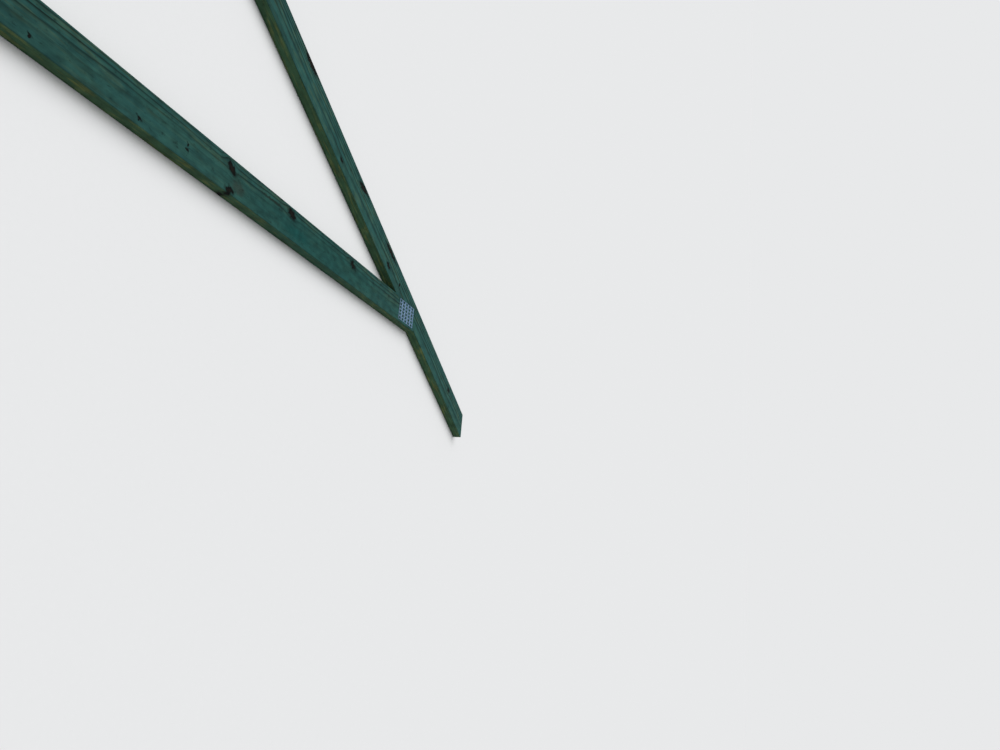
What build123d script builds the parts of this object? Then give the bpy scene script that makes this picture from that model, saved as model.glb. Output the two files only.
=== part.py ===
from build123d import *
import os
from math import cos, radians, sin, tan

# A gable roof truss with a W of webs: dressed pine boards in one plane, pressed together by
# punched steel nail plates on both faces. It lies flat. X runs along the span, Y up the rise
# and Z through the thickness. The origin is at mid span on the bearing line, the underside of
# the bottom chord, halfway through the timber. All sizes are in millimetres.

# Outline
span = 6000.0              # between the heel points, one stock length of bottom chord
pitch = 26.0               # slope of the top chords in degrees
overhang = 600.0           # level distance from a heel point to the plumb cut tail

# Timber
thickness = 35.0           # all boards, through the truss
chord_depth = 90.0         # top and bottom chords
web_depth = 70.0           # the four webs
arris_radius = 2.0         # eased long edges of dressed boards
heel_butt = 6.0            # square end left below the scarf of the bottom chord
joint_gap = 0.5            # between sawn ends pressed together
spare = 150.0              # extra length on a board before its ends are sawn

# Nail plates
plate_steel = 1.0          # sheet thickness
slot_pitch = 25.0          # from slot to slot along a row
slot_length = 17.0
slot_width = 8.4
row_pitch = 12.5           # from row to row
tooth_length = 8.0         # below the plate, two teeth side by side at each end of a slot
heel_plate = (125.0, 75.0)         # along the rows, then across them
apex_plate = (100.0, 75.0)
top_web_plate = (75.0, 50.0)
bottom_web_plate = (100.0, 75.0)
heel_plate_inset = 25.0    # from the heel point to the outer end of its plate
heel_plate_lift = 8.0      # from the bearing line to the lower edge of its plate
bottom_web_plate_drop = 38.0       # part of the plate that lies on the bottom chord
top_web_plate_bite = 25.0          # part of the plate that lies on the top chord
apex_plate_drop = 55.0     # from the tip of the ridge down to the upper edge of its plate

# Setting out, all in the plane of the truss
slope = tan(radians(pitch))
along_rafter = Vector(cos(radians(pitch)), -sin(radians(pitch)), 0)
off_rafter = Vector(sin(radians(pitch)), cos(radians(pitch)), 0)
up = Vector(0, 1, 0)
out = Vector(1, 0, 0)

heel_point = Vector(span / 2, 0, 0)
apex_underside = Vector(0, span / 2 * slope, 0)
rafter_centre = chord_depth / 2 / cos(radians(pitch))
ridge = apex_underside + up * 2 * rafter_centre
bottom_panel_x = span / 6          # webs divide the bottom chord in three equal bays
top_panel_x = span / 4             # and each top chord in two
bottom_panel = Vector(bottom_panel_x, chord_depth / 2, 0)
top_panel = Vector(top_panel_x, (span / 2 - top_panel_x) * slope + rafter_centre, 0)
apex_panel = apex_underside + up * rafter_centre


def board(start, end, depth):
    """A length of dressed stock with eased arrises, centred on a line and longer than it."""
    run = (end - start).normalized()
    section_plane = Plane(start - run * spare, x_dir=(0, 0, 1), z_dir=run)
    section = section_plane * RectangleRounded(thickness, depth, arris_radius)
    return extrude(section, amount=(end - start).length + 2 * spare)


def saw(timber, point, waste_side):
    """Cut a board through a point and drop the part on the waste side."""
    blade = Plane(point, z_dir=waste_side)
    return split(timber, bisect_by=blade, keep=Keep.BOTTOM)


def bottom_chord():
    chord = board(heel_point * -1 + up * chord_depth / 2, heel_point + up * chord_depth / 2, chord_depth)
    butt = heel_point - out * (heel_butt / slope)
    for side in (1, -1):
        scarf_point = Vector(side * heel_point.X, 0, 0) - up * joint_gap
        chord = saw(chord, scarf_point, Vector(side * off_rafter.X, off_rafter.Y, 0))
        chord = saw(chord, butt * side, out * side)
    return chord


def top_chord():
    tail = heel_point + out * overhang
    lower_end = heel_point + along_rafter * (overhang / cos(radians(pitch))) + off_rafter * chord_depth / 2
    chord = board(apex_panel, lower_end, chord_depth)
    chord = saw(chord, out * joint_gap / 2, out * -1)
    return saw(chord, tail, out)


def under_rafter(timber):
    """Saw the head of a web to the underside of the top chord."""
    return saw(timber, heel_point - off_rafter * joint_gap, off_rafter)


def on_bottom_chord(timber):
    """Saw the foot of a web level, to stand on the bottom chord."""
    return saw(timber, up * (chord_depth + joint_gap), up * -1)


def short_web():
    web = on_bottom_chord(under_rafter(board(bottom_panel, top_panel, web_depth)))
    return saw(web, bottom_panel + out * joint_gap / 2, out * -1)


def long_web():
    web = on_bottom_chord(under_rafter(board(bottom_panel, apex_panel, web_depth)))
    web = saw(web, bottom_panel - out * joint_gap / 2, out)
    return saw(web, out * joint_gap / 2, out * -1)


def tooth():
    """A pointed tooth below Z = 0, its inner side flush with the end of a slot at X = 0."""
    half = slot_width / 4
    root = [(0, -half, 0), (0, half, 0), (plate_steel, half, 0), (plate_steel, -half, 0)]
    tip = (0, 0, -tooth_length)
    sides = [Face(Wire.make_polygon([a, b, tip])) for a, b in zip(root, root[1:] + root[:1])]
    return Solid(Shell([Face(Wire.make_polygon(root)), *sides]))


def repeats(room, step):
    """How many steps fit in the room, with a hair of play for rounding."""
    return int(room / step + 0.001)


def nail_plate(size):
    """A piece of punched strip lying on top of Z = 0, its slots along X and its teeth down.

    The steel of each slot is split lengthwise and across, and folded down as two teeth at each end.
    """
    length, width = size
    columns, rows = repeats(length, slot_pitch), repeats(width, row_pitch)
    places = GridLocations(slot_pitch, row_pitch, columns, rows).locations
    slots = [place * Rectangle(slot_length, slot_width) for place in places]
    sheet = extrude(Rectangle(length, width) - slots, amount=plate_steel)
    right_end = [Pos(slot_length / 2, side * slot_width / 4) * tooth() for side in (1, -1)]
    slot_teeth = right_end + [Rot(0, 0, 180) * one for one in right_end]
    return sheet + [place * one for place in places for one in slot_teeth]


def on_face(plate, centre, turn=0.0):
    """Press a plate on the upper face of the timber, turned in the plane of the truss."""
    return Pos(centre.X, centre.Y, thickness / 2) * Rot(0, 0, turn) * plate


def heel_plate_in_place():
    x = heel_point.X - heel_plate_inset - heel_plate[0] / 2
    y = heel_plate_lift + heel_plate[1] / 2
    return on_face(nail_plate(heel_plate), Vector(x, y, 0))


def bottom_web_plate_in_place():
    y = chord_depth - bottom_web_plate_drop + bottom_web_plate[1] / 2
    return on_face(nail_plate(bottom_web_plate), Vector(bottom_panel_x, y, 0))


def top_web_plate_in_place():
    """Centred where the short web's centre line meets the underside of the top chord."""
    web_run = (top_panel - bottom_panel).normalized()
    short_of_panel = chord_depth / 2 / web_run.dot(off_rafter)
    seat = top_panel - web_run * short_of_panel
    centre = seat + off_rafter * (top_web_plate_bite - top_web_plate[1] / 2)
    return on_face(nail_plate(top_web_plate), centre, -pitch)


def apex_plate_in_place():
    y = ridge.Y - apex_plate_drop - apex_plate[1] / 2
    return on_face(nail_plate(apex_plate), Vector(0, y, 0))


nodes = {"bottom_chord": bottom_chord()}

paired_timbers = {
    "top_chord": top_chord(),
    "short_web": short_web(),
    "long_web": long_web(),
}
for name, timber in paired_timbers.items():
    nodes[f"{name}_right"] = timber
    nodes[f"{name}_left"] = mirror(timber, about=Plane.YZ)

plates = {"apex_plate": apex_plate_in_place()}
paired_plates = {
    "heel_plate": heel_plate_in_place(),
    "top_web_plate": top_web_plate_in_place(),
    "bottom_web_plate": bottom_web_plate_in_place(),
}
for name, plate in paired_plates.items():
    plates[f"{name}_right"] = plate
    plates[f"{name}_left"] = mirror(plate, about=Plane.YZ)
for name, plate in plates.items():
    nodes[f"{name}_front"] = plate
    nodes[f"{name}_back"] = mirror(plate, about=Plane.XY)

os.makedirs("parts", exist_ok=True)
for name, shape in nodes.items():
    export_step(shape, f"parts/{name}.step")
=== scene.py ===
import random
from math import cos, pi, radians, sin, tan

import bmesh
import bpy
from bpy.props import FloatProperty, FloatVectorProperty, PointerProperty
from mathutils import Matrix, Vector


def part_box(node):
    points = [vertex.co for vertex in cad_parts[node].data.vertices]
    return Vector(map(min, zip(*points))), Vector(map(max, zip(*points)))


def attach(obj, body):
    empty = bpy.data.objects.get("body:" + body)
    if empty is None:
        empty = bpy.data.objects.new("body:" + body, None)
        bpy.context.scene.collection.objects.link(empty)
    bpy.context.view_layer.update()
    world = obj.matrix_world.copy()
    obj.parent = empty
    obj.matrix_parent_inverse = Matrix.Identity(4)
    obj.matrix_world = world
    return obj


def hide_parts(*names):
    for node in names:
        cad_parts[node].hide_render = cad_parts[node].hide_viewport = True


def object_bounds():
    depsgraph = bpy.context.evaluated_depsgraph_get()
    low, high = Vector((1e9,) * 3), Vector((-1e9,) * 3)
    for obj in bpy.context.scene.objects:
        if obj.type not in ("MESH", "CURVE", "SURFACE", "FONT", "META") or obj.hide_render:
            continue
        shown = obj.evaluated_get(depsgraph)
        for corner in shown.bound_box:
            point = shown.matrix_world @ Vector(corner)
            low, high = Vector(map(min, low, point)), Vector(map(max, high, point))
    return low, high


bl_info = {
    "name": "Gable roof truss",
    "version": (1, 0, 0),
    "blender": (4, 5, 0),
    "location": "3D View > Sidebar > Truss",
    "description": "Dresses the boards of a gable roof truss and punches its steel nail plates",
    "category": "Object",
}

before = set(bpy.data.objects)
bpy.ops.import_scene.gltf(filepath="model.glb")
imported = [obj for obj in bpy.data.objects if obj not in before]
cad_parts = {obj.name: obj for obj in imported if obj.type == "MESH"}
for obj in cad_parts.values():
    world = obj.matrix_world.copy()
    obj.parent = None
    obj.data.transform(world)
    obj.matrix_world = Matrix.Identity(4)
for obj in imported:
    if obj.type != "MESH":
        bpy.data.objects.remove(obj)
cad_lowest, cad_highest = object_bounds()

MM = 0.001

# Setting out, in metres. The truss lies flat: X runs along the span, Y up the rise. The origin is
# at mid span on the underside of the bottom chord, halfway through the timber.
span = 6.0                 # between the heel points, where the undersides of the chords meet
pitch = radians(26.0)      # slope of the top chords
thickness = 0.035          # of every board
chord_depth = 0.09         # of the top and bottom chords

# Square to the right top chord, out of its upper edge, and where the centre lines of webs and
# chords meet.
off_right = Vector((sin(pitch), cos(pitch), 0))
bottom_panel = Vector((span / 6, chord_depth / 2, 0))
top_panel = Vector((span / 4, span / 4 * tan(pitch) + chord_depth / 2 / cos(pitch), 0))
apex_panel = Vector((0, span / 2 * tan(pitch) + chord_depth / 2 / cos(pitch), 0))


def linear(hex_colour):
    """Turn an sRGB colour such as #5B7A66 to the linear values that Blender works in."""
    parts = [int(hex_colour[k:k + 2], 16) / 255 for k in (1, 3, 5)]
    return [p / 12.92 if p <= 0.04045 else ((p + 0.055) / 1.055) ** 2.4 for p in parts]


def rgba(colour):
    """A linear colour with full alpha, as colour sockets take it."""
    return (*colour, 1.0)


def add_node(tree, kind, settings=(), inputs=()):
    """Add a node, set it up, and link or set its inputs. Returns its outputs."""
    node = tree.nodes.new(kind)
    for name, value in dict(settings).items():
        setattr(node, name, value)
    for name, value in dict(inputs).items():
        if isinstance(value, bpy.types.NodeSocket):
            tree.links.new(value, node.inputs[name])
        else:
            node.inputs[name].default_value = value
    return node.outputs


def set_stops(output, stops):
    """Give the colour ramp that an output belongs to its stops, as (place, linear colour)."""
    elements = output.node.color_ramp.elements
    while len(elements) < len(stops):
        elements.new(0.5)
    for element, (place, colour) in zip(elements, stops):
        element.position = place
        element.color = rgba(colour)


def grey(value):
    """A linear grey, for a colour ramp that is read as a number."""
    return (value, value, value)


def new_material(name):
    """An empty node material."""
    material = bpy.data.materials.new(name)
    material.use_nodes = True
    material.node_tree.nodes.clear()
    return material


# Settings


class TimberSettings(bpy.types.PropertyGroup):
    # Painted shade: the wide-face colours are the wood as it looks in shade under a blue sky, darker and
    # bluer than the pine's own colour.
    wide_colour_in_shade: FloatVectorProperty(
        name="Wide faces", description="Earlywood on the wide faces, under the green treatment",
        subtype="COLOR", size=3, min=0, max=1, default=linear("#294F49"))
    dye_colour_in_shade: FloatVectorProperty(
        name="Dye", description="Where the treatment has taken up more dye",
        subtype="COLOR", size=3, min=0, max=1, default=linear("#234946"))
    latewood_colour: FloatVectorProperty(
        name="Latewood", description="The hard dark line of each growth ring",
        subtype="COLOR", size=3, min=0, max=1, default=linear("#0A1814"))
    # Painted shade: the narrow-face colours are the olive of the undersides as they look in shade.
    narrow_colour_in_shade: FloatVectorProperty(
        name="Narrow faces", description="The planed narrow faces, more olive than the wide ones",
        subtype="COLOR", size=3, min=0, max=1, default=linear("#34503A"))
    narrow_dark_colour_in_shade: FloatVectorProperty(
        name="Narrow latewood", description="Dark lines of the narrow faces",
        subtype="COLOR", size=3, min=0, max=1, default=linear("#22301E"))
    fleck_colour: FloatVectorProperty(
        name="Flecks", description="Bare yellow wood, clear on the narrow faces and faint on the wide",
        subtype="COLOR", size=3, min=0, max=1, default=linear("#5D663B"))
    end_colour: FloatVectorProperty(
        name="Sawn ends", description="End grain, paler because the treatment stays near the faces",
        subtype="COLOR", size=3, min=0, max=1, default=linear("#6B7955"))
    end_ring_colour: FloatVectorProperty(
        name="Rings of sawn ends", description="Latewood on the end grain",
        subtype="COLOR", size=3, min=0, max=1, default=linear("#465534"))
    knot_pith_colour: FloatVectorProperty(
        name="Knot pith", description="The dark middle of a knot",
        subtype="COLOR", size=3, min=0, max=1, default=linear("#090A08"))
    knot_colour: FloatVectorProperty(
        name="Knot", description="The brown wood of a knot",
        subtype="COLOR", size=3, min=0, max=1, default=linear("#14110C"))
    knot_ring_colour: FloatVectorProperty(
        name="Knot ring", description="The last dark ring of a knot, inside its bark",
        subtype="COLOR", size=3, min=0, max=1, default=linear("#0A0B08"))
    knot_rim_colour: FloatVectorProperty(
        name="Knot rim", description="Bark round a knot",
        subtype="COLOR", size=3, min=0, max=1, default=linear("#030605"))
    ring_width: FloatProperty(
        name="Ring width", description="From ring to ring in fast-grown pine, 75 mm from the heart",
        subtype="DISTANCE", unit="LENGTH", min=0.001, max=0.02, default=9 * MM)


class PlateSettings(bpy.types.PropertyGroup):
    steel: FloatProperty(
        name="Steel", description="Thickness of the strip",
        subtype="DISTANCE", unit="LENGTH", default=1.0 * MM)
    slot_pitch: FloatProperty(
        name="Slot pitch", description="From slot to slot along a row",
        subtype="DISTANCE", unit="LENGTH", default=25.0 * MM)
    row_pitch: FloatProperty(
        name="Row pitch", description="From row to row",
        subtype="DISTANCE", unit="LENGTH", default=12.5 * MM)
    slot_length: FloatProperty(
        name="Slot length", description="Between the teeth at the two ends of a slot",
        subtype="DISTANCE", unit="LENGTH", default=17.0 * MM)
    slot_width: FloatProperty(
        name="Slot width", description="Width of a slot, and of the two teeth side by side at its end",
        subtype="DISTANCE", unit="LENGTH", default=8.4 * MM)
    tooth_length: FloatProperty(
        name="Tooth length", description="From the underside of the plate to the tip of a tooth",
        subtype="DISTANCE", unit="LENGTH", default=8.0 * MM)
    # Painted shade and painted reflection: both zinc colours are darkened and tinted blue, as the steel
    # looks in shade reflecting a blue sky.
    bright_zinc_in_sky_light: FloatVectorProperty(
        name="Zinc", description="Bright crystals of the zinc coating",
        subtype="COLOR", size=3, min=0, max=1, default=linear("#708CA9"))
    dull_zinc_in_sky_light: FloatVectorProperty(
        name="Dull zinc", description="Duller crystals of the zinc coating",
        subtype="COLOR", size=3, min=0, max=1, default=linear("#587490"))


class StageSettings(bpy.types.PropertyGroup):
    floor_colour: FloatVectorProperty(
        name="Floor", description="Plain pale floor",
        subtype="COLOR", size=3, min=0, max=1, default=linear("#E8E9EA"))
    sky_level: FloatProperty(
        name="Soft light", description="Even light from all round",
        min=0, max=2, default=0.45)
    lamp_level: FloatProperty(
        name="Lamp", description="Wide soft lamp from above the ridge",
        min=0, max=10, default=2.2)
    lens: FloatProperty(
        name="Lens", description="Focal length on a 36 mm wide sensor, in millimetres",
        min=10, max=200, default=29.225)


# Timber


def scattered_knots(seed, start, end, low, high, apart):
    """Knots about so many mm apart along a board, some with a small one beside them."""
    chance = random.Random(seed)
    knots = []
    place = start + apart * chance.uniform(0.1, 0.9)
    while place < end:
        across = chance.uniform(low, high)
        half_width = chance.choice((4, 7, 9, 11))
        stretch = chance.choice((1.1, 1.3, 1.5, 4))
        knots.append((place, across, half_width, stretch, 0))
        if chance.random() < 0.35:
            knots.append((place + chance.uniform(-25, 25), chance.uniform(low, high), 4, 1.2, 0))
        place += apart * chance.uniform(0.6, 1.4)
    return knots


def web_frame(side, head):
    """The frame of a web, which starts at its foot and runs to its head."""
    foot = Vector((side * bottom_panel.x, bottom_panel.y, 0))
    run = Vector((side * head.x, head.y, 0)) - foot
    clockwise = Vector((1, 0)).angle_signed(run.to_2d())
    return foot, -clockwise


# Each board has a frame of its own (origin in metres, and turn about Z), a place where the heart
# of the tree lay, across the board and through it in mm, and a tone, which is how light it is.
# A knot is its place along and across the board and its half width in mm, how many times longer
# than wide it is, and how far its long way leans, in degrees. A mark is its place along and
# across, half its length and half its width in mm, its colour and its strength. Across is measured
# from the underside of the bottom chord and the left top chord, from the upper edge of the right
# top chord, and from the centre line of a web.
boards = {
    "bottom_chord": {
        "frame": (Vector((0, 0, 0)), 0.0), "heart": (14, -34), "tone": 0.95,
        "knots": [(1840, 65, 9, 2.0, -36), (2115, 70, 9.5, 2.0, -16), (2483, 64, 8.5, 2.0, -20),
                  (1843, 8, 8, 1.9, 4), (1680, 42, 3.5, 1.4, -32), (1681, 26, 3.5, 1.5, -37),
                  (1531, 16, 3.5, 1.7, -27), (1256, 15, 3, 1.6, -24)]
        + scattered_knots(11, -2950, 1150, 0, 90, 420),
        "marks": [(2290, 34, 440, 55, "#1A4642", 0.6), (1874, 29, 32, 20, "#303831", 0.6),
                  (2150, 26, 80, 18, "#0D4442", 0.6), (2022, 66, 60, 4, "#1B2620", 0.8)],
    },
    "top_chord_right": {
        "frame": (Vector((span / 2, 0, 0)) + off_right * chord_depth, pi - pitch),
        "heart": (84, -46), "tone": 1.1,
        "knots": [(1038, 10, 7, 5, 0), (606, 17, 8, 3.6, 10), (330, 16, 7, 6, 0), (314, 66, 6, 2.7, 0),
                  (753, 68, 5, 2, 0), (207, 50, 4, 1.5, 0), (-420, 30, 8, 1.5, 0)]
        + scattered_knots(23, 1250, 3300, 0, 90, 380),
        "marks": [],
    },
    "top_chord_left": {
        "frame": (Vector((-span / 2, 0, 0)), pitch), "heart": (30, -60), "tone": 1.0,
        "knots": scattered_knots(31, -600, 3300, 0, 90, 360), "marks": [],
    },
    "short_web_right": {
        "frame": web_frame(1, top_panel), "heart": (-28, 50), "tone": 1.04,
        "knots": scattered_knots(41, 80, 800, -35, 35, 330), "marks": [],
    },
    "short_web_left": {
        "frame": web_frame(-1, top_panel), "heart": (20, -38), "tone": 0.97,
        "knots": scattered_knots(47, 80, 800, -35, 35, 300), "marks": [],
    },
    "long_web_right": {
        "frame": web_frame(1, apex_panel), "heart": (12, -55), "tone": 0.93,
        "knots": scattered_knots(53, 80, 1700, -35, 35, 340), "marks": [],
    },
    "long_web_left": {
        "frame": web_frame(-1, apex_panel), "heart": (-30, 44), "tone": 1.03,
        "knots": scattered_knots(59, 80, 1700, -35, 35, 360), "marks": [],
    },
}


# Patterns that run along a board: how long and how wide their lumps are in mm, then the detail and
# roughness of the noise. Real fibres are a tenth as wide, and are drawn at 2 mm so that they show.
grain_patterns = {
    "ripple": (120, 26, 3, 0.5),
    "fibre": (110, 2, 3, 0.6),
    "faint": (340, 30, 2, 0.5),
    "fleck": (75, 11, 4, 0.6),
    "patch": (130, 26, 5, 0.65),
    "cloud": (34, 20, 3, 0.5),
    "speck": (14, 7, 2, 0.5),
}


def ragged(tree, place):
    """A place that is moved about, so that what is drawn round a point gets an uneven edge."""
    per_mm = 0.11          # lumps of about 9 mm
    reach = 16             # mm, from one side to the other
    moved = add_node(tree, "ShaderNodeTexNoise", (), {
        "Vector": place, "Scale": per_mm, "Detail": 1})["Color"]
    moved = add_node(tree, "ShaderNodeVectorMath", {"operation": "MULTIPLY_ADD"}, {
        0: moved, 1: (reach, reach, 0), 2: (-reach / 2, -reach / 2, 0)})[0]
    return add_node(tree, "ShaderNodeVectorMath", {"operation": "ADD"}, {0: moved, 1: place})[0]


def from_knot(tree, place, knot):
    """How far a place is from the middle of a knot, 1 at its edge."""
    along, across, half_width, stretch, lean = knot
    right_through = 1e6    # mm, so that a knot looks the same at any depth in the board
    place = add_node(tree, "ShaderNodeMapping", {"vector_type": "TEXTURE"}, {
        "Vector": place, "Location": (along, across, 0), "Rotation": (0, 0, radians(lean)),
        "Scale": (half_width * stretch, half_width, right_through)})[0]
    return add_node(tree, "ShaderNodeVectorMath", {"operation": "LENGTH"}, {0: place})["Value"]


def knots_of(tree, place, beside, uneven, knots):
    """Branches that ran through the thickness. Returns how far a place is from the nearest knot,
    1 at its uneven edge, and how far the rings are pushed aside there, in mm."""
    nearest = 99.0         # farther than any knot reaches
    parted = 0.0
    parting_reach = 3.6    # how far out the rings are pushed aside, in sizes of the knot
    most_parting = 0.85    # as a share of the distance from the knot's middle line
    for knot in knots:
        edge = from_knot(tree, uneven, knot)
        nearest = add_node(tree, "ShaderNodeMath", {"operation": "MINIMUM"}, {0: edge, 1: nearest})[0]
        push = add_node(tree, "ShaderNodeMapRange", {"interpolation_type": "SMOOTHERSTEP"}, {
            "Value": from_knot(tree, place, knot), "From Min": 0.0, "From Max": parting_reach,
            "To Min": most_parting, "To Max": 0.0})[0]
        across = knot[1]
        off_centre = add_node(tree, "ShaderNodeMath", {"operation": "SUBTRACT"}, {
            0: beside, 1: across})[0]
        parted = add_node(tree, "ShaderNodeMath", {"operation": "MULTIPLY_ADD"}, {
            0: off_centre, 1: push, 2: parted})[0]
    return nearest, parted


def growth_rings(tree, place, grain, parted, board, ring_width):
    """Rings round the heart of the tree, wide and faint near it, narrow and bold further out.
    Returns how much a place is latewood, and how bold the rings are there, both up to 1."""
    across, through = board["heart"]

    # The tree wasn't straight: its heart wanders a few centimetres over a metre or so, in a way
    # of its own in each board.
    long, wide = 650, 260  # mm
    own_shift = (across, board["tone"] * 7, 0)
    slow = add_node(tree, "ShaderNodeVectorMath", {"operation": "MULTIPLY_ADD"}, {
        0: place, 1: (1 / long, 1 / wide, 1 / wide), 2: own_shift})[0]
    wander = add_node(tree, "ShaderNodeTexNoise", (), {"Vector": slow, "Scale": 1, "Detail": 2})["Color"]
    wander_reach = 30      # mm, from one side to the other
    wander = add_node(tree, "ShaderNodeVectorMath", {"operation": "MULTIPLY_ADD"}, {
        0: wander, 1: (0, wander_reach, wander_reach), 2: (0, -wander_reach / 2, -wander_reach / 2)})[0]
    from_heart = add_node(tree, "ShaderNodeVectorMath", {"operation": "MULTIPLY_ADD"}, {
        0: place, 1: (0, 1, 1), 2: (0, -across, -through)})[0]
    from_heart = add_node(tree, "ShaderNodeVectorMath", {"operation": "ADD"}, {
        0: from_heart, 1: wander})[0]

    # Rings part round the knots.
    aside = add_node(tree, "ShaderNodeCombineXYZ", (), {"Y": parted})[0]
    from_heart = add_node(tree, "ShaderNodeVectorMath", {"operation": "SUBTRACT"}, {
        0: from_heart, 1: aside})[0]
    radius = add_node(tree, "ShaderNodeVectorMath", {"operation": "LENGTH"}, {0: from_heart})["Value"]

    # They ripple a little, and the fibres feather their edges.
    ripple_reach = 3.0     # mm
    feather_reach = 3.0    # mm
    radius = add_node(tree, "ShaderNodeMath", {"operation": "MULTIPLY_ADD"}, {
        0: grain["ripple"], 1: ripple_reach, 2: radius})[0]
    radius = add_node(tree, "ShaderNodeMath", {"operation": "MULTIPLY_ADD"}, {
        0: grain["fibre"], 1: feather_reach, 2: radius})[0]

    # Rings counted by the square of the radius get narrower outwards, with the set width at the
    # set radius. Each darkens slowly towards its latewood and ends at once.
    set_radius = 75        # mm
    squared = add_node(tree, "ShaderNodeMath", {"operation": "MULTIPLY"}, {0: radius, 1: radius})[0]
    ring = add_node(tree, "ShaderNodeMath", {"operation": "DIVIDE"}, {
        0: squared, 1: 2 * set_radius * ring_width / MM})[0]
    ring = add_node(tree, "ShaderNodeMath", {"operation": "FRACT"}, {0: ring})[0]
    ring = add_node(tree, "ShaderNodeValToRGB", (), {0: ring})[0]
    set_stops(ring, [(0.0, grey(0.12)), (0.1, grey(0.0)), (0.5, grey(0.05)), (0.72, grey(0.55)),
                     (0.84, grey(1.0)), (0.93, grey(0.85)), (1.0, grey(0.12))])

    # Some stretches are fainter than others, and the rings go from faint, up to 52 mm from the
    # heart, to bold from 80 mm on.
    faint = add_node(tree, "ShaderNodeMapRange", (), {
        "Value": grain["faint"], "From Min": 0.36, "From Max": 0.6, "To Min": 0.55, "To Max": 1.0})[0]
    bold = add_node(tree, "ShaderNodeMapRange", {"interpolation_type": "SMOOTHSTEP"}, {
        "Value": radius, "From Min": 52.0, "From Max": 80.0, "To Min": 0.28, "To Max": 1.0})[0]
    faint = add_node(tree, "ShaderNodeMath", {"operation": "MULTIPLY"}, {0: faint, 1: bold})[0]
    latewood = add_node(tree, "ShaderNodeMath", {"operation": "MULTIPLY"}, {0: ring, 1: faint})[0]
    return latewood, bold


def planed_faces(tree, through, grain, latewood, bold, look):
    """Colour of the four planed faces, with the change from wide to narrow at the eased edges."""
    fleck = add_node(tree, "ShaderNodeMapRange", {"interpolation_type": "SMOOTHSTEP"}, {
        "Value": grain["fleck"], "From Min": 0.48, "From Max": 0.7, "To Max": 0.8})[0]

    # Wide faces: the dye pools in soft patches, and a little bare wood shows where rings are bold.
    patch = add_node(tree, "ShaderNodeMapRange", {"interpolation_type": "SMOOTHSTEP"}, {
        "Value": grain["patch"], "From Min": 0.38, "From Max": 0.62})[0]
    # Both wide colours are painted shade: the wood in shade under a blue sky, darker and bluer than its
    # own colour.
    wide = add_node(tree, "ShaderNodeMix", {"data_type": "RGBA"}, {
        0: patch, 6: rgba(look.wide_colour_in_shade), 7: rgba(look.dye_colour_in_shade)})[2]
    most_bare = 0.3        # of what shows on the narrow faces
    bare = add_node(tree, "ShaderNodeMath", {"operation": "MULTIPLY"}, {0: bold, 1: most_bare})[0]
    bare = add_node(tree, "ShaderNodeMath", {"operation": "MULTIPLY"}, {0: fleck, 1: bare})[0]
    wide = add_node(tree, "ShaderNodeMix", {"data_type": "RGBA"}, {
        0: bare, 6: wide, 7: rgba(look.fleck_colour)})[2]
    wide = add_node(tree, "ShaderNodeMix", {"data_type": "RGBA"}, {
        0: latewood, 6: wide, 7: rgba(look.latewood_colour)})[2]

    # Narrow faces: more olive than the wide ones, the colour of the undersides in shade, so painted
    # shade, with flecks of bare wood.
    narrow = add_node(tree, "ShaderNodeMix", {"data_type": "RGBA"}, {
        0: latewood, 6: rgba(look.narrow_colour_in_shade), 7: rgba(look.narrow_dark_colour_in_shade)})[2]
    narrow = add_node(tree, "ShaderNodeMix", {"data_type": "RGBA"}, {
        0: fleck, 6: narrow, 7: rgba(look.fleck_colour)})[2]

    # The change runs from 2.6 to 0.4 mm under the wide face.
    depth = add_node(tree, "ShaderNodeMath", {"operation": "ABSOLUTE"}, {0: through})[0]
    half = thickness / 2 / MM
    on_wide = add_node(tree, "ShaderNodeMapRange", {"interpolation_type": "SMOOTHSTEP"}, {
        "Value": depth, "From Min": half - 2.6, "From Max": half - 0.4})[0]
    return add_node(tree, "ShaderNodeMix", {"data_type": "RGBA"}, {
        0: on_wide, 6: narrow, 7: wide})[2]


def with_marks(tree, uneven, marks, colour):
    """A board's colour with its marks, which are soft spots of another colour."""
    for along, across, half_length, half_width, tint, strength in marks:
        mark = add_node(tree, "ShaderNodeVectorMath", {"operation": "MULTIPLY_ADD"}, {
            0: uneven, 1: (1 / half_length, 1 / half_width, 0),
            2: (-along / half_length, -across / half_width, 0)})[0]
        mark = add_node(tree, "ShaderNodeVectorMath", {"operation": "LENGTH"}, {0: mark})["Value"]
        mark = add_node(tree, "ShaderNodeMapRange", {"interpolation_type": "SMOOTHSTEP"}, {
            "Value": mark, "From Min": 0.3, "From Max": 1.2, "To Min": strength, "To Max": 0.0})[0]
        colour = add_node(tree, "ShaderNodeMix", {"data_type": "RGBA"}, {
            0: mark, 6: colour, 7: rgba(linear(tint))})[2]
    return colour


def with_sawn_ends(tree, normal, turn, latewood, look, colour):
    """A board's colour with paler sawn ends, on which the rings show as arcs."""
    run = (cos(turn), sin(turn), 0)
    facing = add_node(tree, "ShaderNodeVectorMath", {"operation": "DOT_PRODUCT"}, {
        0: normal, 1: run})["Value"]
    facing = add_node(tree, "ShaderNodeMath", {"operation": "ABSOLUTE"}, {0: facing})[0]
    sawn = add_node(tree, "ShaderNodeMapRange", {"interpolation_type": "SMOOTHSTEP"}, {
        "Value": facing, "From Min": 0.15, "From Max": 0.3})[0]
    end = add_node(tree, "ShaderNodeMix", {"data_type": "RGBA"}, {
        0: latewood, 6: rgba(look.end_colour), 7: rgba(look.end_ring_colour)})[2]
    return add_node(tree, "ShaderNodeMix", {"data_type": "RGBA"}, {0: sawn, 6: colour, 7: end})[2]


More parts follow.
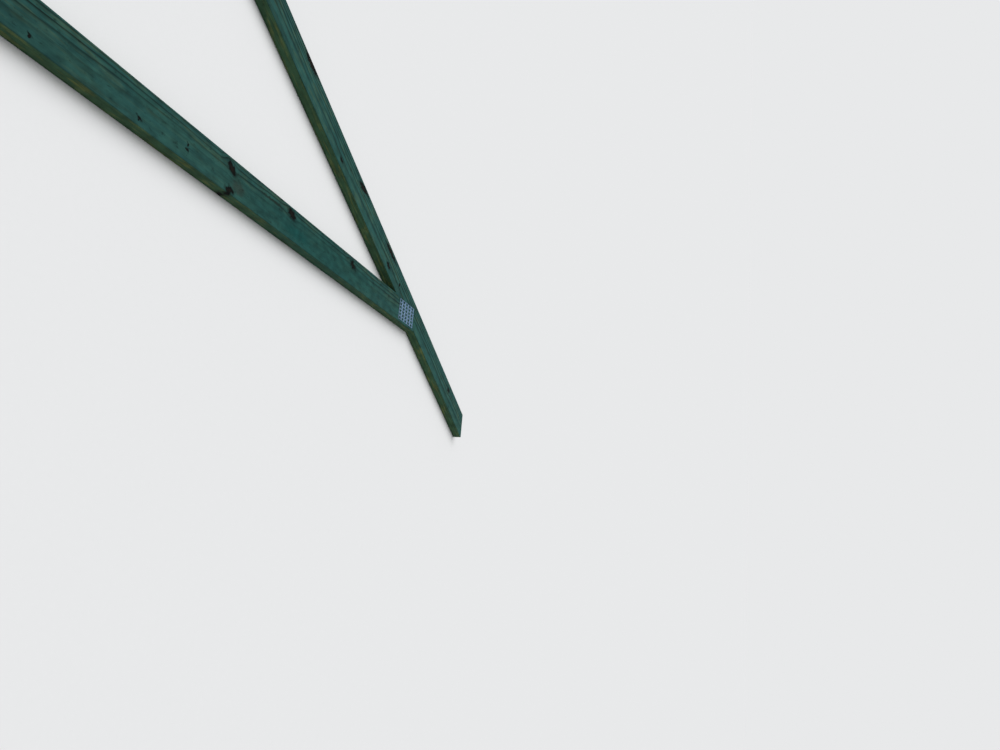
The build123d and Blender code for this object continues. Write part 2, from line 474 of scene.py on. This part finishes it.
def with_knots(tree, grain, nearest, look, colour):
    """A board's colour with its knots, brown with a dark rim of bark, and darker wood round them.
    Returns it with how much a place is knot, from 0 to 1."""
    feathering = -0.8      # in sizes of the knot, draws the dark wood out along the fibres
    near = add_node(tree, "ShaderNodeMath", {"operation": "MULTIPLY_ADD"}, {
        0: grain["fibre"], 1: feathering, 2: nearest})[0]
    near = add_node(tree, "ShaderNodeMapRange", {"interpolation_type": "SMOOTHERSTEP"}, {
        "Value": near, "From Min": 0.3, "From Max": 1.5, "To Min": 0.7, "To Max": 0.0})[0]
    colour = add_node(tree, "ShaderNodeMix", {"data_type": "RGBA"}, {
        0: near, 6: colour, 7: rgba(look.knot_rim_colour)})[2]
    knot = add_node(tree, "ShaderNodeValToRGB", (), {0: nearest})[0]
    set_stops(knot, [(0.0, look.knot_pith_colour), (0.3, look.knot_colour),
                     (0.5, look.knot_ring_colour), (0.68, look.knot_rim_colour),
                     (1.0, look.knot_rim_colour)])
    in_knot = add_node(tree, "ShaderNodeMapRange", {"interpolation_type": "SMOOTHSTEP"}, {
        "Value": nearest, "From Min": 0.9, "From Max": 1.08, "To Min": 1.0, "To Max": 0.0})[0]
    colour = add_node(tree, "ShaderNodeMix", {"data_type": "RGBA"}, {
        0: in_knot, 6: colour, 7: knot})[2]
    return colour, in_knot


def weathered(tree, grain, tone, colour):
    """A board's colour in its own tone, with a cloudy uptake of the treatment, specks of dirt and
    resin, and lighter and darker fibres."""
    cloud = add_node(tree, "ShaderNodeMapRange", (), {
        "Value": grain["cloud"], "From Min": 0.3, "From Max": 0.7, "To Min": -0.26, "To Max": 0.22})[0]
    speck = add_node(tree, "ShaderNodeMapRange", {"interpolation_type": "SMOOTHSTEP"}, {
        "Value": grain["speck"], "From Min": 0.6, "From Max": 0.78, "To Min": 0.0, "To Max": -0.4})[0]
    value = add_node(tree, "ShaderNodeMapRange", (), {
        "Value": grain["fibre"], "From Min": 0.3, "From Max": 0.7,
        "To Min": 0.82 * tone, "To Max": 1.18 * tone})[0]
    value = add_node(tree, "ShaderNodeMath", {"operation": "ADD"}, {0: value, 1: speck})[0]
    value = add_node(tree, "ShaderNodeMath", {"operation": "ADD"}, {0: value, 1: cloud})[0]
    return add_node(tree, "ShaderNodeHueSaturation", (), {"Value": value, "Color": colour})[0]


def treated_pine(name, board, look):
    """Radiata pine, planed, with a green preservative dye: growth rings round the heart of the
    tree give straight lines on the narrow faces, flames on the wide ones and arcs on the sawn
    ends, the rings part round the knots, and the dye has soaked in unevenly."""
    material = new_material("Treated_pine_planed_" + name)
    tree = material.node_tree
    origin, turn = board["frame"]
    texture = add_node(tree, "ShaderNodeTexCoord")
    place = add_node(tree, "ShaderNodeMapping", {"vector_type": "TEXTURE"}, {
        "Vector": texture["Object"], "Location": origin, "Rotation": (0, 0, turn),
        "Scale": (MM, MM, MM)})[0]                      # the board's own frame, in mm
    parts = add_node(tree, "ShaderNodeSeparateXYZ", (), {0: place})
    beside, through = parts["Y"], parts["Z"]
    uneven = ragged(tree, place)
    grain = {}
    for kind, (long, wide, detail, roughness) in grain_patterns.items():
        sized = add_node(tree, "ShaderNodeVectorMath", {"operation": "MULTIPLY"}, {
            0: place, 1: (1 / long, 1 / wide, 1 / wide)})[0]
        grain[kind] = add_node(tree, "ShaderNodeTexNoise", (), {
            "Vector": sized, "Scale": 1, "Detail": detail, "Roughness": roughness})["Fac"]
    nearest, parted = knots_of(tree, place, beside, uneven, board["knots"])
    latewood, bold = growth_rings(tree, place, grain, parted, board, look.ring_width)

    colour = planed_faces(tree, through, grain, latewood, bold, look)
    colour = with_marks(tree, uneven, board["marks"], colour)
    colour = with_sawn_ends(tree, texture["Normal"], turn, latewood, look, colour)
    colour, in_knot = with_knots(tree, grain, nearest, look, colour)
    colour = weathered(tree, grain, board["tone"], colour)

    # The dried surface is fibrous: latewood stands proud of the softer wood, knots sink a little.
    latewood_rise = 0.3    # both beside a fibre's height of 1
    knot_rise = -0.6
    height = add_node(tree, "ShaderNodeMath", {"operation": "MULTIPLY_ADD"}, {
        0: latewood, 1: latewood_rise, 2: grain["fibre"]})[0]
    height = add_node(tree, "ShaderNodeMath", {"operation": "MULTIPLY_ADD"}, {
        0: in_knot, 1: knot_rise, 2: height})[0]
    normal = add_node(tree, "ShaderNodeBump", (), {
        "Strength": 0.5, "Distance": 0.4 * MM, "Height": height})[0]
    roughness = add_node(tree, "ShaderNodeMapRange", (), {
        "Value": grain["fibre"], "From Min": 0.3, "From Max": 0.7, "To Min": 0.7, "To Max": 0.85})[0]
    surface = add_node(tree, "ShaderNodeBsdfPrincipled", (), {
        "Base Color": colour, "Roughness": roughness, "Normal": normal, "Specular IOR Level": 0.06})[0]
    add_node(tree, "ShaderNodeOutputMaterial", (), {"Surface": surface})
    return material


class TRUSS_OT_dress_timbers(bpy.types.Operator):
    """Give every board its own planed and treated pine"""
    bl_idname = "truss.dress_timbers"
    bl_label = "Dress timbers"

    def execute(self, context):
        for name, board in boards.items():
            material = treated_pine(name, board, context.scene.truss_timber)
            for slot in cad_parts[name].material_slots:
                slot.link = "OBJECT"
                slot.material = material
        return {"FINISHED"}


# Nail plates


# Each family of plates: length along its rows of slots and width across them, in metres, and how
# far the ones on the right are turned in the plane of the truss.
plate_families = {
    "heel_plate": (0.125, 0.075, 0.0),
    "apex_plate": (0.1, 0.075, 0.0),
    "top_web_plate": (0.075, 0.05, -pitch),
    "bottom_web_plate": (0.1, 0.075, 0.0),
}

steel_name = "Galvanised_steel_strip_pressed"

# The fold at the root of a tooth is a quarter circle in two steps, as shares of its radius
# inwards and down. A tooth tapers in two steps: a share of its length, and how narrow it gets.
fold_steps = ((0.71, 0.29), (0.29, 0.71))
tooth_steps = ((0.35, 0.85), (0.65, 0.2))


def galvanised_steel(look):
    """Hot-dip galvanised steel strip: small bright crystals of zinc, each a little different in
    colour and gloss, with faint rolling lines along the strip."""
    material = new_material(steel_name)
    tree = material.node_tree
    place = add_node(tree, "ShaderNodeTexCoord")["Object"]
    crystal_size = 4 * MM
    cells = add_node(tree, "ShaderNodeTexVoronoi", (), {
        "Vector": place, "Scale": 1 / crystal_size})["Color"]
    crystal = add_node(tree, "ShaderNodeSeparateColor", (), {0: cells})

    # Rolling lines are finer than this, and are drawn about 0.7 mm wide so that they show.
    line_length = 25 * MM
    line_width = MM / 1.4
    rolled = add_node(tree, "ShaderNodeMapping", (), {
        "Vector": place, "Scale": (1 / line_length, 1 / line_width, 1 / line_width)})[0]
    rolled = add_node(tree, "ShaderNodeTexNoise", (), {"Vector": rolled, "Scale": 1, "Detail": 2})["Fac"]
    # The zinc colours carry painted shade and a painted reflection of blue sky.
    colour = add_node(tree, "ShaderNodeMix", {"data_type": "RGBA"}, {
        0: crystal[0], 6: rgba(look.bright_zinc_in_sky_light), 7: rgba(look.dull_zinc_in_sky_light)})[2]
    roughness = add_node(tree, "ShaderNodeMapRange", (), {
        "Value": crystal[1], "To Min": 0.36, "To Max": 0.52})[0]
    crystal_rise = 0.5     # beside a rolling line's height of 1
    height = add_node(tree, "ShaderNodeMath", {"operation": "MULTIPLY_ADD"}, {
        0: crystal[2], 1: crystal_rise, 2: rolled})[0]
    normal = add_node(tree, "ShaderNodeBump", (), {
        "Strength": 0.25, "Distance": 0.1 * MM, "Height": height})[0]
    surface = add_node(tree, "ShaderNodeBsdfPrincipled", (), {
        "Base Color": colour, "Metallic": 1.0, "Roughness": roughness, "Normal": normal})[0]
    add_node(tree, "ShaderNodeOutputMaterial", (), {"Surface": surface})
    return material


def deselect():
    """Deselect every object, because an operator acts on all that is selected."""
    bpy.ops.object.select_all(action="DESELECT")


def select_edges(test):
    """In edit mode, select only the edges whose middle passes a test."""
    bpy.ops.mesh.select_mode(type="EDGE")
    bpy.ops.mesh.select_all(action="DESELECT")
    work = bmesh.from_edit_mesh(bpy.context.object.data)
    for edge in work.edges:
        first, last = edge.verts
        if test((first.co + last.co) / 2):
            edge.select_set(True)
    bmesh.update_edit_mesh(bpy.context.object.data)


def add_array(count, offset):
    """Repeat the active object and weld the copies to each other."""
    array = bpy.context.object.modifiers.new("Repeat", "ARRAY")
    array.count = count
    array.use_relative_offset = False
    array.use_constant_offset = True
    array.constant_offset_displace = offset
    array.use_merge_vertices = True
    array.merge_threshold = 0.01 * MM
    bpy.ops.object.modifier_apply(modifier=array.name)


def punched_cell(sheet):
    """One cell of the strip: a slot with two teeth, side by side, folded down at each end."""
    fold = sheet.steel                                   # outer radius of the fold
    side_strip = (sheet.row_pitch - sheet.slot_width) / 2
    opening = sheet.slot_length + 2 * fold
    bpy.ops.mesh.primitive_plane_add(size=1)
    bpy.ops.object.mode_set(mode="EDIT")
    bpy.ops.transform.resize(value=(sheet.slot_pitch, sheet.row_pitch, 1))
    bpy.ops.mesh.inset(thickness=side_strip, depth=0)
    bpy.ops.transform.resize(value=(opening / (sheet.slot_pitch - 2 * side_strip), 1, 1))
    bpy.ops.mesh.delete(type="ONLY_FACE")
    near = 0.1 * MM                                      # close enough to be the same place
    for side in (-1, 1):
        end = side * opening / 2
        select_edges(lambda p: abs(p.x - end) < near and abs(p.y) < near)
        bpy.ops.mesh.subdivide()
        select_edges(lambda p: abs(p.x - end) < near and abs(p.y) < sheet.slot_width / 2)
        for inwards, down in fold_steps:
            bpy.ops.mesh.extrude_region_move(
                TRANSFORM_OT_translate={"value": (-side * inwards * fold, 0, -down * fold)})
        root = end - side * fold
        for half in (-1, 1):
            middle = half * sheet.slot_width / 4
            select_edges(lambda p: (p - Vector((root, middle, -fold))).length < near)
            for share, narrower in tooth_steps:
                bpy.ops.mesh.extrude_region_move(
                    TRANSFORM_OT_translate={"value": (0, 0, -share * sheet.tooth_length)})
                bpy.ops.transform.resize(value=(1, narrower, 1))
    bpy.ops.mesh.select_all(action="SELECT")
    bpy.ops.transform.translate(value=(0, 0, sheet.steel))
    bpy.ops.object.mode_set(mode="OBJECT")


def repeats(room, step):
    """How many steps fit in the room, with a hair of play for rounding."""
    return int(room / step + 0.001)


def punched_plate(name, length, width, sheet):
    """Model one nail plate flat on Z = 0, its teeth pointing down, about its own centre."""
    columns = repeats(length, sheet.slot_pitch)
    rows = repeats(width, sheet.row_pitch)
    deselect()
    punched_cell(sheet)
    add_array(columns, (sheet.slot_pitch, 0, 0))
    add_array(rows, (0, sheet.row_pitch, 0))
    bpy.ops.object.mode_set(mode="EDIT")
    bpy.ops.mesh.select_all(action="SELECT")
    bpy.ops.transform.translate(
        value=(-(columns - 1) * sheet.slot_pitch / 2, -(rows - 1) * sheet.row_pitch / 2, 0))
    bpy.ops.object.mode_set(mode="OBJECT")
    plate = bpy.context.object
    plate.name = plate.data.name = name
    wall = plate.modifiers.new("Steel", "SOLIDIFY")
    wall.thickness = sheet.steel
    wall.offset = -1
    wall.use_even_offset = True
    bpy.ops.object.modifier_apply(modifier=wall.name)
    bpy.ops.object.shade_smooth_by_angle(angle=radians(50))       # smooth folds, sharp sheared edges
    return plate


def press_in(pattern, node, turn, material):
    """Put a copy of a plate where a CAD plate is, and let it stand for that one."""
    low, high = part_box(node)
    centre = (low + high) / 2
    front = node.endswith("front")
    centre.z = thickness / 2 if front else -thickness / 2
    if "_left" in node:
        turn = pi - turn
    deselect()
    pattern.select_set(True)
    bpy.context.view_layer.objects.active = pattern
    bpy.ops.object.duplicate(linked=False)
    plate = bpy.context.object
    plate.name = plate.data.name = "punched_" + node
    over = Matrix.Identity(4) if front else Matrix.Rotation(pi, 4, "X")
    plate.matrix_world = Matrix.Translation(centre) @ Matrix.Rotation(turn, 4, "Z") @ over
    bpy.ops.object.transform_apply(location=True, rotation=True, scale=True)
    plate.data.materials.clear()
    plate.data.materials.append(material)
    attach(plate, "root")
    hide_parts(node)


def press_in_all(family):
    """Model a family's plate once, and press a copy in at each of its places."""
    length, width, turn = plate_families[family]
    sheet = bpy.context.scene.truss_plate
    material = bpy.data.materials.get(steel_name) or galvanised_steel(sheet)
    pattern = punched_plate("pattern_" + family, length, width, sheet)
    for node in sorted(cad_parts):
        if node.startswith(family):
            press_in(pattern, node, turn, material)
    bpy.data.objects.remove(pattern)


class TRUSS_OT_heel_plates(bpy.types.Operator):
    """Punch the four plates that hold the top chords to the bottom chord"""
    bl_idname = "truss.heel_plates"
    bl_label = "Heel plates"

    def execute(self, context):
        press_in_all("heel_plate")
        return {"FINISHED"}


class TRUSS_OT_apex_plates(bpy.types.Operator):
    """Punch the two plates that hold the ridge joint"""
    bl_idname = "truss.apex_plates"
    bl_label = "Apex plates"

    def execute(self, context):
        press_in_all("apex_plate")
        return {"FINISHED"}


class TRUSS_OT_top_web_plates(bpy.types.Operator):
    """Punch the four plates at the heads of the short webs"""
    bl_idname = "truss.top_web_plates"
    bl_label = "Top web plates"

    def execute(self, context):
        press_in_all("top_web_plate")
        return {"FINISHED"}


class TRUSS_OT_bottom_web_plates(bpy.types.Operator):
    """Punch the four plates at the feet of the webs"""
    bl_idname = "truss.bottom_web_plates"
    bl_label = "Bottom web plates"

    def execute(self, context):
        press_in_all("bottom_web_plate")
        return {"FINISHED"}


# Stage


def pale_floor(look):
    """A smooth painted floor, plain and dull, so that it takes only the truss's shadow."""
    material = new_material("Painted_floor_matt")
    tree = material.node_tree
    place = add_node(tree, "ShaderNodeTexCoord")["Object"]
    per_metre = 60         # lumps of about 17 mm
    shade = 0.985          # of the floor's colour, where it is duller
    duller = [part * shade for part in look.floor_colour]
    speck = add_node(tree, "ShaderNodeTexNoise", (), {
        "Vector": place, "Scale": per_metre, "Detail": 2})["Fac"]
    colour = add_node(tree, "ShaderNodeMix", {"data_type": "RGBA"}, {
        0: speck, 6: rgba(look.floor_colour), 7: rgba(duller)})[2]
    surface = add_node(tree, "ShaderNodeBsdfDiffuse", (), {"Color": colour})[0]
    add_node(tree, "ShaderNodeOutputMaterial", (), {"Surface": surface})
    return material


def lay_floor(look):
    """A wide level floor just under the truss."""
    deselect()
    width = 400            # metres, so that its edge is too far off to show
    bpy.ops.mesh.primitive_plane_add(size=width, location=(0, 0, cad_lowest.z))
    floor = bpy.context.object
    floor.name = "floor"
    floor.data.materials.append(pale_floor(look))


def light_softly(scene, look):
    """Even light from all round, a backdrop in the floor's colour, and a wide soft lamp."""
    world = bpy.data.worlds.new("Soft_light")
    scene.world = world
    world.use_nodes = True
    tree = world.node_tree
    tree.nodes.clear()
    ray = add_node(tree, "ShaderNodeLightPath")
    seen = add_node(tree, "ShaderNodeMath", {"operation": "MAXIMUM"}, {
        0: ray["Is Camera Ray"], 1: ray["Is Glossy Ray"]})[0]
    seen = add_node(tree, "ShaderNodeMath", {"operation": "MAXIMUM"}, {
        0: seen, 1: ray["Is Transmission Ray"]})[0]
    light = add_node(tree, "ShaderNodeBackground", (), {
        "Color": (1, 1, 1, 1), "Strength": look.sky_level})[0]
    backdrop = add_node(tree, "ShaderNodeBackground", (), {
        "Color": rgba(look.floor_colour), "Strength": 1.0})[0]
    both = add_node(tree, "ShaderNodeMixShader", (), {0: seen, 1: light, 2: backdrop})[0]
    add_node(tree, "ShaderNodeOutputWorld", (), {"Surface": both})

    lamp = bpy.data.lights.new("Soft_lamp", "SUN")
    lamp.energy = look.lamp_level
    lamp.angle = radians(60)
    lamp_object = bpy.data.objects.new("Soft_lamp", lamp)
    scene.collection.objects.link(lamp_object)
    shining = Vector((0.25, -0.55, -0.8))                # from above the ridge, over the slopes
    lamp_object.rotation_euler = shining.to_track_quat("-Z", "Y").to_euler()


def place_camera(scene, look):
    """The photograph's view, fitted to the heel joint and the edges of both chords: from near mid
    span, 0.8 m outside the bottom chord and 1.2 m off the front face."""
    eye = Vector((324.3, -819.2, 1229.1)) * MM
    right = Vector((0.288192, 0.078981, 0.954310))
    upward = Vector((-0.241112, 0.970468, -0.007505))
    camera = bpy.data.cameras.new("Camera")
    camera.sensor_width = 36
    camera.lens = look.lens
    camera_object = bpy.data.objects.new("Camera", camera)
    scene.collection.objects.link(camera_object)
    back = right.cross(upward)
    turned = Matrix((right, upward, back)).transposed().to_4x4()
    camera_object.matrix_world = Matrix.Translation(eye) @ turned
    scene.camera = camera_object


class TRUSS_OT_stage(bpy.types.Operator):
    """Lay the pale floor, set the soft light and the camera"""
    bl_idname = "truss.stage"
    bl_label = "Stage"

    def execute(self, context):
        look = context.scene.truss_stage
        lay_floor(look)
        light_softly(context.scene, look)
        place_camera(context.scene, look)
        context.scene.view_settings.view_transform = "Standard"
        return {"FINISHED"}


# Panel and registration


class TRUSS_PT_panel(bpy.types.Panel):
    """Lists the steps that dress the truss, and their settings"""
    bl_idname = "TRUSS_PT_panel"
    bl_label = "Roof truss"
    bl_space_type = "VIEW_3D"
    bl_region_type = "UI"
    bl_category = "Truss"

    def draw(self, context):
        layout = self.layout
        for step in steps:
            layout.operator(step.bl_idname)
        for settings in (context.scene.truss_timber, context.scene.truss_plate,
                         context.scene.truss_stage):
            box = layout.box()
            for name in settings.__annotations__:
                box.prop(settings, name)


steps = (TRUSS_OT_dress_timbers, TRUSS_OT_heel_plates, TRUSS_OT_apex_plates,
         TRUSS_OT_top_web_plates, TRUSS_OT_bottom_web_plates, TRUSS_OT_stage)
classes = (TimberSettings, PlateSettings, StageSettings, *steps, TRUSS_PT_panel)


def register():
    for each in classes:
        bpy.utils.register_class(each)
    bpy.types.Scene.truss_timber = PointerProperty(type=TimberSettings)
    bpy.types.Scene.truss_plate = PointerProperty(type=PlateSettings)
    bpy.types.Scene.truss_stage = PointerProperty(type=StageSettings)


def unregister():
    del bpy.types.Scene.truss_stage
    del bpy.types.Scene.truss_plate
    del bpy.types.Scene.truss_timber
    for each in reversed(classes):
        bpy.utils.unregister_class(each)


def main():
    register()
    bpy.ops.truss.dress_timbers()
    bpy.ops.truss.heel_plates()
    bpy.ops.truss.apex_plates()
    bpy.ops.truss.top_web_plates()
    bpy.ops.truss.bottom_web_plates()
    bpy.ops.truss.stage()


if __name__ == "__main__":
    main()
